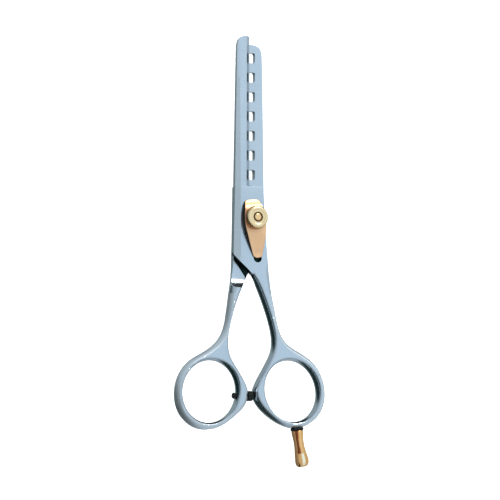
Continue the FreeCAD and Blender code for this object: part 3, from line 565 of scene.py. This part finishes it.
GOLD_STUD = metal("gold_stud_end", (0.95, 0.56, 0.26), (1.0, 0.68, 0.36), 0.25, grain=(1500, 1500, 60), blotch=500)
# steel for the handle's outer sides: rougher than the flats, and its lighter colour is painted light
STEEL_SOFT_LIT_SIDE = metal("handle_side_lit_steel", (0.60, 0.66, 0.70), (0.66, 0.72, 0.76), 0.50, grain=(1400, 500, 1400), bump=0.012)
# near-black steel: painted shade and painted dark reflection for the lapped edge's wall, the comb's bevel beside it and
# the blind hole
STEEL_PAINTED_SHADE = metal("painted_shade_steel", (0.006, 0.022, 0.019), (0.012, 0.036, 0.032), 0.30, grain=(1400, 60, 60))
# dark brown-red gold: painted shade on the finger rest's upper left side
GOLD_PAINTED_SHADE = metal("gold_shade", (0.20, 0.050, 0.020), (0.34, 0.10, 0.035), 0.40, grain=(700, 1600, 700), blotch=250)
# dark brown-gold for the knob's knurled rim: painted shade on its sides
KNOB_RIM_SHADE = metal("knob_rim_painted_shade", (0.34, 0.15, 0.045), (0.55, 0.28, 0.10), 0.28, grain=(900, 900, 60), blotch=500)
# dark brown for the knob's central recess and the stud end's edge: painted shade in the recess
RECESS_SHADE = metal("knob_recess_painted_shade", (0.16, 0.075, 0.030), (0.24, 0.12, 0.05), 0.35, grain=(900, 900, 900), blotch=400)
# near-black for the leaf spring's sides and underside: painted shade under the raised leaf
LEAF_UNDER_SHADE = moulded("leaf_underside_painted_shade", (0.010, 0.008, 0.006), (0.018, 0.014, 0.010), 0.55)
RUBBER = moulded("black_rubber", (0.003, 0.005, 0.004), (0.008, 0.011, 0.010), 0.62)
next(n for n in RUBBER.node_tree.nodes if n.type == "BSDF_PRINCIPLED").inputs["Specular IOR Level"].default_value = 0.15
NYLON = moulded("white_nylon", (0.74, 0.73, 0.69), (0.82, 0.81, 0.77), 0.45, bump=0.05)
FLOOR_MAT, _nt, _b = new_material("floor")
_b.inputs["Roughness"].default_value = 0.9
_n = node(_nt, "ShaderNodeTexNoise", Scale=8.0)
_r = ramp(_nt, _n.outputs["Fac"], [(0.3, (0.90, 0.90, 0.90)), (0.7, (0.92, 0.92, 0.92))])
_nt.links.new(_r.outputs["Color"], _b.inputs["Base Color"])
_b.inputs["Emission Color"].default_value = (1, 1, 1, 1)
_b.inputs["Emission Strength"].default_value = 0.8

for name, mat in {
    "comb_blade": STEEL_BLADE, "plain_blade": STEEL_BLADE, "pivot_stud": STEEL_SMALL, "pivot_bushing": NYLON,
    "ride_washer": NYLON, "head_washer": NYLON, "knob_washer": STEEL_SMALL, "leaf_spring": GOLD_LEAF,
    "tension_knob": GOLD_KNOB, "bumper": RUBBER, "rest_washer": RUBBER, "rest_stud": STEEL_SMALL, "finger_rest": GOLD_REST,
}.items():
    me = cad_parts[name].data
    me.materials.clear()
    me.materials.append(mat)

# ------------------------------------------------------------------ the two halves
teeth_lines = []
comb = Half("comb_half_mesh", COMB_OUTLINE, HOLE_LEFT, True)
plain = Half("plain_half_mesh", PLAIN_OUTLINE, HOLE_RIGHT, False)


def line(p, q, step=1.5):
    n = max(1, int(round(math.hypot(q[0] - p[0], q[1] - p[1]) / step)))
    return [(p[0] + (q[0] - p[0]) * i / n, p[1] + (q[1] - p[1]) * i / n) for i in range(n + 1)]


# lines that the flats of the plain blade meet on
xs = lambda y: lerp_line(y, -18, -4.62, 67, -4.72)
plain_creases = [
    line((xs(64.2), 64.2), (xs(SHOULDER_Y + 0.05), SHOULDER_Y + 0.05)),
    line((xs(SHOULDER_Y - 0.05), SHOULDER_Y - 0.05), (xs(-14.6), -14.6)),
    line((-0.80, 65.2), (-0.80, SHOULDER_Y + 0.05)),
    line((grind_line(65.1), 65.1), (grind_line(SHOULDER_Y + 0.05), SHOULDER_Y + 0.05)),
    line((xs(SHOULDER_Y) + 0.1, SHOULDER_Y + 0.05), (-0.5, SHOULDER_Y + 0.05)),
    line((xs(SHOULDER_Y) + 0.1, SHOULDER_Y - 0.05), (-0.5, SHOULDER_Y - 0.05)),
]
comb_creases = [
    line((lerp_line(60, -8, 3.6, 66, 2.75), 60.0), (lerp_line(-10, -8, 3.6, 66, 2.75), -10.0)),
    line((-6.0, SHOULDER_Y - 0.05), (4.6, SHOULDER_Y - 0.05)),
    line(BEVEL_A, (-2.2, -20.24), 0.5),
]
plain_creases += [ring_of(*FOOT, 1.52), ring_of(*FOOT, 1.46),
                  line((-7.0, SHOULDER_Y - 0.42), (3.9, SHOULDER_Y - 0.42))]
plain_o = plain.build(plain_top, plain_bottom, plain_creases, [STEEL_BLADE, STEEL_HANDLE, STEEL_PAINTED_SHADE, STEEL_SOFT_LIT_SIDE])
comb_o = comb.build(comb_top, comb_bottom, comb_creases, [STEEL_BLADE, STEEL_HANDLE, STEEL_PAINTED_SHADE, STEEL_SOFT_LIT_SIDE])
def paint_light_and_shade(o, which):
    """Painted shade: near-black steel on the lapped edge's wall, the comb's bevel beside it and the floor of the blind
    hole, where these surfaces lie in shade and reflect dark surroundings; also the lighter painted outer sides of the
    handle.
    """
    q = np.array([p.center[:] for p in o.data.polygons]) / MM
    n = np.array([p.normal[:] for p in o.data.polygons])
    if which == "plain_blade":
        a, b = np.array([(-7.02, -12.8)]), np.array([(0.1, -19.9)])
        d, _, _ = seg_dist(q[:, :2], a, b)
        dark = (d < 0.75) & (np.abs(n[:, 2]) < 0.5)
        dark |= np.hypot(q[:, 0] - FOOT[0], q[:, 1] - FOOT[1]) < 1.53
    else:
        dark = (bevel_side(q[:, 0], q[:, 1]) > 0.02) & (n[:, 2] > 0.2)
    # painted shade: these faces take the near-black steel slot
    for i in np.nonzero(dark & (q[:, 2] > 1.0))[0]:
        o.data.polygons[int(i)].material_index = 2
    # painted light: the outer sides of the handle get a lighter colour, and they are also rougher than its flats (on
    # the plain half only the right-facing sides)
    h = comb if which == "comb_blade" else plain
    sel = h.kind == 1
    d, _, _ = seg_dist(q[:, :2], h.a[sel], h.b[sel])
    side = (d < 1.7) & (np.abs(n[:, 2]) < 0.93) & (q[:, 1] < -26.5)
    if which == "plain_blade":
        side &= n[:, 0] > 0
    for i in np.nonzero(side)[0]:
        o.data.polygons[int(i)].material_index = 3


for o, body, nodename, slot in ((plain_o, "plain_half", "plain_blade", "plain_steel"), (comb_o, "comb_half", "comb_blade", "comb_steel")):
    shade(o, 16)
    for p in o.data.polygons:
        if p.center.y < -0.020:
            p.material_index = 1
    paint_light_and_shade(o, nodename)
    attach(o, body)
    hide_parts(nodename)

# ------------------------------------------------------------------ leaf spring, knob, stud end, finger rest
LEAF = [(1.55, 6.55), (2.45, 6.20), (2.95, 5.2), (3.45, 3.0), (3.85, 0.6), (3.95, -1.6), (3.75, -3.8), (3.25, -6.6),
        (2.62, -9.4), (2.02, -11.9), (1.62, -13.2), (0.9, -13.85)]
LEAF_SIDE = [(6.8, 0.04), (6.2, 0.16), (5.6, 0.46), (4.5, 1.15), (3.4, 1.47), (2.6, 1.5), (0, 1.5), (-2.6, 1.5), (-4.2, 1.5),
             (-5.6, 1.44), (-8.0, 1.0), (-10.8, 0.45), (-12.2, 0.10), (-14.2, 0.04)]


def leaf_spring():
    right = catmull(LEAF, 0.25) + [LEAF[-1]]
    out = right + [(0.0, -13.95)] + [(-x, y) for x, y in right[::-1]]
    out += [(x, 6.55) for x in np.arange(-1.2, 1.3, 0.4)]
    out = np.array(out)
    hole = np.array(ring_of(0, 0, 1.6, 48)[:-1])
    prof = catmull(LEAF_SIDE, 0.15) + [LEAF_SIDE[-1]]
    py, pz = np.array(prof)[::-1, 0], np.array(prof)[::-1, 1]
    pts = [tuple(q) for q in out] + [tuple(q) for q in hole]
    n, nh = len(out), len(hole)
    a, b = out, np.roll(out, -1, axis=0)
    ha, hb = hole, np.roll(hole, -1, axis=0)
    d = b - a
    t = d / np.hypot(d[:, 0], d[:, 1])[:, None]
    t = t + np.roll(t, 1, axis=0)
    t /= np.hypot(t[:, 0], t[:, 1])[:, None]
    nr = np.stack([t[:, 1], -t[:, 0]], 1)
    area = np.sum(a[:, 0] * b[:, 1] - b[:, 0] * a[:, 1])
    nr *= -1 if area > 0 else 1
    for off in (0.06, 0.14, 0.3):
        pts += [tuple(q) for q in out + nr * off]
    for y in np.arange(6.3, -13.8, -0.3):
        for x in np.arange(-3.9, 3.95, 0.6):
            q = np.array([[x, y]])
            if min(seg_dist(q, a, b)[0][0], seg_dist(q, ha, hb)[0][0]) > 0.42:
                pts.append((x, y))
    edges = [(i, (i + 1) % n) for i in range(n)] + [(n + i, n + (i + 1) % nh) for i in range(nh)]
    v2, _, f2, ov, _, _ = delaunay_2d_cdt([Vector(p) for p in pts], edges, [], 0, 1e-5)
    v = np.array([(q.x, q.y) for q in v2])
    tri = np.array([f for f in f2 if len(f) == 3])
    c = v[tri].mean(1)

    def inside(p, lp):
        res = np.zeros(len(p), bool)
        for (x0, y0), (x1, y1) in zip(lp, np.roll(lp, -1, axis=0)):
            if y0 != y1:
                res ^= ((p[:, 1] < y0) != (p[:, 1] < y1)) & (p[:, 0] < (x1 - x0) * (p[:, 1] - y0) / (y1 - y0) + x0)
        return res

    tri = tri[inside(c, out) & ~inside(c, hole)]
    used = sorted(set(tri.ravel()))
    re = {u: i for i, u in enumerate(used)}
    v = v[used]
    tri = np.array([[re[i] for i in f] for f in tri])
    ar = (v[tri[:, 1], 0] - v[tri[:, 0], 0]) * (v[tri[:, 2], 1] - v[tri[:, 0], 1]) - (v[tri[:, 2], 0] - v[tri[:, 0], 0]) * (v[tri[:, 1], 1] - v[tri[:, 0], 1])
    tri = tri[np.abs(ar) > 1e-9]
    ar = ar[np.abs(ar) > 1e-9]
    tri[ar < 0] = tri[ar < 0][:, ::-1]
    edge_d = np.minimum(seg_dist(v, a, b)[0], seg_dist(v, ha, hb)[0])
    under = np.interp(v[:, 1], py, pz)
    roll = 0.13 * (1 - np.sqrt(np.clip(1 - (1 - np.clip(edge_d / 0.14, 0, 1)) ** 2, 0, 1)))
    zb, zt = T + under, T + under + 0.60 - roll
    ang = math.radians(6.8)
    R = np.array([[math.cos(ang), -math.sin(ang)], [math.sin(ang), math.cos(ang)]])
    w = v @ R.T
    m = len(v)
    verts = [(x, y, z) for (x, y), z in zip(w, zt)] + [(x, y, z) for (x, y), z in zip(w, zb)]
    faces = [tuple(f) for f in tri] + [tuple(m + i for i in f[::-1]) for f in tri]
    count = {}
    for f in tri:
        for i in range(3):
            count[(f[i], f[(i + 1) % 3])] = 1
    for (i, j) in [e for e in count if (e[1], e[0]) not in count]:
        faces.append((j, i, m + i, m + j))
    o = mesh_from("leaf_spring_mesh", verts, faces, [GOLD_LEAF, LEAF_UNDER_SHADE])
    shade(o, 35)
    # painted shade: the sides and underside of the leaf take the near-black material
    for i in range(len(tri), len(faces)):
        o.data.polygons[i].material_index = 1
    return o


def lathe(name, prof, n, mats, radius=None):
    """Rings of vertices and the faces between them for a solid of revolution, or of given radii per angle; the ends are
    left open.
    """
    verts, faces = [], []
    for j, (r, z) in enumerate(prof):
        for i in range(n):
            f = 2 * math.pi * i / n
            rr = radius(j, r, f) if radius else r
            verts.append((rr * math.cos(f), rr * math.sin(f), z))
    k = len(prof)
    for j in range(k - 1):
        for i in range(n):
            i2 = (i + 1) % n
            faces.append((j * n + i, j * n + i2, (j + 1) * n + i2, (j + 1) * n + i))
    return verts, faces


leaf_o = leaf_spring()
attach(leaf_o, "plain_half")
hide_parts("leaf_spring")

KZ, KT, KR, KS, KB = T + 1.5 + 0.6 + 0.34, 2.55, 4.05, 1.72, 1.50
NF = 30
kprof = [(KB, KZ), (2.6, KZ), (KR - 0.45, KZ), (KR - 0.12, KZ + 0.12), (KR, KZ + 0.40), (KR, KZ + 0.9), (KR, KZ + 1.4), (KR, KZ + KT - 0.80),
         (KR - 0.10, KZ + KT - 0.52), (KR - 0.38, KZ + KT - 0.24), (KR - 0.72, KZ + KT - 0.07), (KR - 0.95, KZ + KT - 0.02), (2.75, KZ + KT), (2.62, KZ + KT - 0.03),
         (2.50, KZ + KT - 0.15), (2.36, KZ + KT - 0.19), (2.0, KZ + KT - 0.19), (KS + 0.05, KZ + KT - 0.20), (KS - 0.04, KZ + KT - 0.30), (KS - 0.08, KZ + KT - 0.90), (KB, KZ + KT - 0.90)]


def knob_radius(j, r, f):
    if 2 <= j <= 9:
        u = (f * NF / (2 * math.pi)) % 1.0
        deep = 0.30 * max(0.0, math.cos(2 * math.pi * (u - 0.5))) ** 0.8 if abs(u - 0.5) < 0.25 else 0.0
        share = (0, 0, 0.5, 0.9, 1, 1, 1, 1, 0.8, 0.35)[j]
        return r - deep * share
    return r


def revolved(name, prof, n, mats, radius=None, closed=True, shade_at=38):
    verts, faces = lathe(name, prof, n, mats, radius=radius)
    k = len(prof)
    if closed:
        for i in range(n):
            i2 = (i + 1) % n
            faces.append(((k - 1) * n + i, (k - 1) * n + i2, i2, i))
    else:
        faces.append(tuple(range(n))[::-1])
        faces.append(tuple((k - 1) * n + i for i in range(n)))
    o = mesh_from(name, verts, faces, mats)
    shade(o, shade_at)
    return o


knob_o = revolved("tension_knob_mesh", kprof, 360, [GOLD_KNOB, RECESS_SHADE, KNOB_RIM_SHADE], radius=knob_radius)
for p in knob_o.data.polygons:
    c = p.center
    r = math.hypot(c.x, c.y) / MM
    # painted shade: the walls of the knob's central recess take the dark brown
    if r < KS + 0.02 and c.z / MM > KZ + 0.5:
        p.material_index = 1
    # painted shade: the knob's rim takes the dark brown-gold
    elif r > KR - 0.5 and c.z / MM < KZ + KT - 0.52:
        p.material_index = 2
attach(knob_o, "tension_knob")
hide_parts("tension_knob")

SE = KZ + KT - 0.35
cap_o = revolved("stud_end", [(1.42, SE + 0.005), (1.42, SE + 0.03), (1.24, SE + 0.035), (1.22, SE + 0.12), (1.12, SE + 0.22), (0.85, SE + 0.28), (0.45, SE + 0.31), (0.1, SE + 0.32)],
                 72, [GOLD_STUD, RECESS_SHADE], closed=False, shade_at=50)
# painted shade: the stud end's edge, down in the knob's recess, takes the dark brown
for p in cap_o.data.polygons:
    if max(math.hypot(cap_o.data.vertices[i].co.x, cap_o.data.vertices[i].co.y) for i in p.vertices) > 1.3 * MM:
        p.material_index = 1
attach(cap_o, "plain_half")

# finger rest: rounded sections along its axis
RT = math.radians(7.5)
RD = np.array([math.sin(RT), -math.cos(RT), 0.0])
RX = np.array([math.cos(RT), math.sin(RT), 0.0])
RZ = np.array([0.0, 0.0, 1.0])
RAT = np.array([17.45, -73.30, T / 2])
RSEC = [(1.50, 0.0, 1.70, 1.70), (1.56, 0.0, 1.98, 1.98), (1.75, 0.0, 2.10, 2.10), (2.1, 0.0, 2.12, 2.12), (3.1, -0.03, 1.98, 1.96), (4.0, -0.02, 1.86, 1.84),
        (4.9, 0.02, 1.80, 1.78), (5.9, 0.04, 1.79, 1.77), (6.9, 0.08, 1.86, 1.80), (7.9, 0.14, 1.98, 1.86), (8.9, 0.22, 2.14, 1.95), (9.8, 0.30, 2.30, 2.04),
        (10.5, 0.36, 2.42, 2.10), (11.2, 0.38, 2.47, 2.13), (11.8, 0.37, 2.44, 2.10), (12.3, 0.34, 2.28, 1.96), (12.7, 0.30, 2.00, 1.70), (13.0, 0.26, 1.62, 1.36), (13.15, 0.24, 1.25, 1.02), (13.2, 0.23, 0.7, 0.55)]
rv, rf = [], []
NR = 72
for d, sh, a_, b_ in RSEC:
    d = 0.35 + (d - 1.5) * 12.85 / 11.7
    for i in range(NR):
        f = 2 * math.pi * i / NR
        q = RAT + RD * d + RX * (sh + a_ * math.cos(f)) + RZ * (b_ * math.sin(f))
        rv.append(tuple(q))
for j in range(len(RSEC) - 1):
    for i in range(NR):
        i2 = (i + 1) % NR
        rf.append((j * NR + i, (j + 1) * NR + i, (j + 1) * NR + i2, j * NR + i2))
rf.append(tuple(range(NR)))
rf.append(tuple((len(RSEC) - 1) * NR + i for i in range(NR))[::-1])
rest_o = mesh_from("finger_rest_mesh", rv, rf, [GOLD_REST, GOLD_PAINTED_SHADE, GOLD_SOFT_LIT_EDGE, GOLD_PAINTED_HIGHLIGHT])
if sum(p.normal.dot(p.center - Vector(RAT * MM) - Vector(RD * 7 * MM)) for p in rest_o.data.polygons) < 0:
    rest_o.data.flip_normals()
shade(rest_o, 50)
for p in rest_o.data.polygons:
    nx = p.normal.dot(Vector(RX))
    far = (p.center / MM - Vector(RAT)).dot(Vector(RD))
    # painted light: the leftmost faces take the rougher, slightly lighter gold
    if nx < -0.72:
        p.material_index = 2
    # painted shade: the upper left side takes the dark brown-red gold
    elif nx < -0.30 + 0.06 * math.sin(far) and far < 8.3 and p.normal.z > 0:
        p.material_index = 1
    # painted highlight: the top of the bulb takes the pale gold
    elif -0.22 < nx < 0.12 and 8.0 < far < 12.6 and p.normal.z > 0:
        p.material_index = 3
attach(rest_o, "plain_half")
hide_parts("finger_rest")

# washer under it: a soft ring squeezed between ring and rest
wv, wf = [], []
WSEC = [(-0.62, 1.25), (-0.62, 2.00), (-0.52, 2.20), (-0.25, 2.32), (0.05, 2.32), (0.25, 2.24), (0.36, 2.05), (0.36, 1.25)]
for d, r in WSEC:
    for i in range(NR):
        f = 2 * math.pi * i / NR
        wv.append(tuple(RAT + RD * d + RX * (r * math.cos(f)) + RZ * (r * math.sin(f))))
for j in range(len(WSEC)):
    j2 = (j + 1) % len(WSEC)
    for i in range(NR):
        i2 = (i + 1) % NR
        wf.append((j * NR + i, j2 * NR + i, j2 * NR + i2, j * NR + i2))
washer_o = mesh_from("rest_washer_mesh", wv, wf, [RUBBER])
shade(washer_o, 40)
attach(washer_o, "plain_half")
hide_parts("rest_washer")

# ------------------------------------------------------------------ floor, light, camera
fl = bpy.data.meshes.new("floor")
fl.from_pydata([(-3, -3, -0.0004), (3, -3, -0.0004), (3, 3, -0.0004), (-3, 3, -0.0004)], [], [(0, 1, 2, 3)])
fl.materials.append(FLOOR_MAT)
floor = link(fl, "floor")
floor.visible_glossy = False

world = bpy.data.worlds.new("studio")
bpy.context.scene.world = world
world.use_nodes = True
wt = world.node_tree
wt.nodes.clear()
out = wt.nodes.new("ShaderNodeOutputWorld")
bg_soft = wt.nodes.new("ShaderNodeBackground")
bg_gloss = wt.nodes.new("ShaderNodeBackground")
lp = wt.nodes.new("ShaderNodeLightPath")
mixs = wt.nodes.new("ShaderNodeMixShader")
bg_soft.inputs["Color"].default_value = (1, 1, 1, 1)
bg_soft.inputs["Strength"].default_value = 1.7
tcw = wt.nodes.new("ShaderNodeTexCoord")
dot = wt.nodes.new("ShaderNodeVectorMath")
dot.operation = "DOT_PRODUCT"
dot.inputs[1].default_value = Vector((0.40, 0.0, 0.92)).normalized()
wt.links.new(tcw.outputs["Generated"], dot.inputs[0])
mr = wt.nodes.new("ShaderNodeMapRange")
mr.inputs["From Min"].default_value = -1
mr.inputs["From Max"].default_value = 1
wt.links.new(dot.outputs["Value"], mr.inputs["Value"])
wr = wt.nodes.new("ShaderNodeValToRGB")
els = wr.color_ramp.elements
STOPS = [(-1.0, (0.34, 0.41, 0.42)), (-0.75, (0.38, 0.45, 0.47)), (-0.30, (0.50, 0.58, 0.64)),
         (0.10, (0.56, 0.66, 0.74)), (0.80, (0.60, 0.68, 0.73)), (0.93, (0.72, 0.87, 1.0)), (1.0, (0.72, 0.87, 1.0))]
while len(els) < len(STOPS):
    els.new(0.5)
for e, (p, c) in zip(els, STOPS):
    e.position = (p + 1) / 2
    e.color = (*c, 1)
wt.links.new(mr.outputs["Result"], wr.inputs["Fac"])


def dark_card(source, direction, soft, hard, colour):
    """A dark board beside the stand: darkens the reflections within an angle of direction."""
    dt = wt.nodes.new("ShaderNodeVectorMath")
    dt.operation = "DOT_PRODUCT"
    dt.inputs[1].default_value = Vector(direction).normalized()
    wt.links.new(tcw.outputs["Generated"], dt.inputs[0])
    mp = wt.nodes.new("ShaderNodeMapRange")
    mp.interpolation_type = "SMOOTHSTEP"
    mp.inputs["From Min"].default_value = soft
    mp.inputs["From Max"].default_value = hard
    wt.links.new(dt.outputs["Value"], mp.inputs["Value"])
    mx = wt.nodes.new("ShaderNodeMix")
    mx.data_type = "RGBA"
    wt.links.new(mp.outputs["Result"], mx.inputs["Factor"])
    wt.links.new(source, mx.inputs[6])
    mx.inputs[7].default_value = (*colour, 1)
    return mx.outputs[2]


shade_out = dark_card(wr.outputs["Color"], (-0.78, -0.50, -0.37), 0.44, 0.72, (0.006, 0.022, 0.020))
shade_out = dark_card(shade_out, (0.35, 0.82, 0.46), 0.82, 0.95, (0.98, 1.03, 1.06))
shade_out = dark_card(shade_out, (0.33, 0.86, -0.42), 0.82, 0.90, (0.010, 0.024, 0.022))
wt.links.new(shade_out, bg_gloss.inputs["Color"])
bg_gloss.inputs["Strength"].default_value = 1.06
wt.links.new(lp.outputs["Is Glossy Ray"], mixs.inputs["Fac"])
wt.links.new(bg_soft.outputs[0], mixs.inputs[1])
wt.links.new(bg_gloss.outputs[0], mixs.inputs[2])
wt.links.new(mixs.outputs[0], out.inputs["Surface"])


def area(name, where, aim, size, power, color=(1, 1, 1)):
    d = bpy.data.lights.new(name, "AREA")
    d.shape = "RECTANGLE"
    d.size, d.size_y = size
    d.energy = power
    d.color = color
    o = bpy.data.objects.new(name, d)
    bpy.context.scene.collection.objects.link(o)
    o.location = where
    o.rotation_mode = "QUATERNION"
    o.rotation_quaternion = (Vector(aim) - Vector(where)).to_track_quat("-Z", "Y")
    return o


area("softbox", (0.30, 0.75, 0.60), (0, -0.01, 0), (0.35, 0.22), 4.0, (1.0, 0.99, 0.97))

cam = bpy.data.cameras.new("camera")
cam_o = bpy.data.objects.new("camera", cam)
bpy.context.scene.collection.objects.link(cam_o)
RIGHT = Vector((0.934, 0.0, 0.358)).normalized()
BACK = Vector((-0.3557, -0.1219, 0.9266)).normalized()
UP = BACK.cross(RIGHT).normalized()
RIGHT = UP.cross(BACK).normalized()
DIST = 0.90
TARGET = Vector((0.00121, -0.01033, -0.00089))
cam.sensor_width = 36
cam.lens = 18 / (0.1759 / 2 / DIST)
cam.clip_start, cam.clip_end = 0.01, 20
cam_o.matrix_world = Matrix((
    (RIGHT.x, UP.x, BACK.x, TARGET.x + BACK.x * DIST),
    (RIGHT.y, UP.y, BACK.y, TARGET.y + BACK.y * DIST),
    (RIGHT.z, UP.z, BACK.z, TARGET.z + BACK.z * DIST),
    (0, 0, 0, 1)))
bpy.context.scene.camera = cam_o
bpy.context.scene.view_settings.view_transform = "Standard"
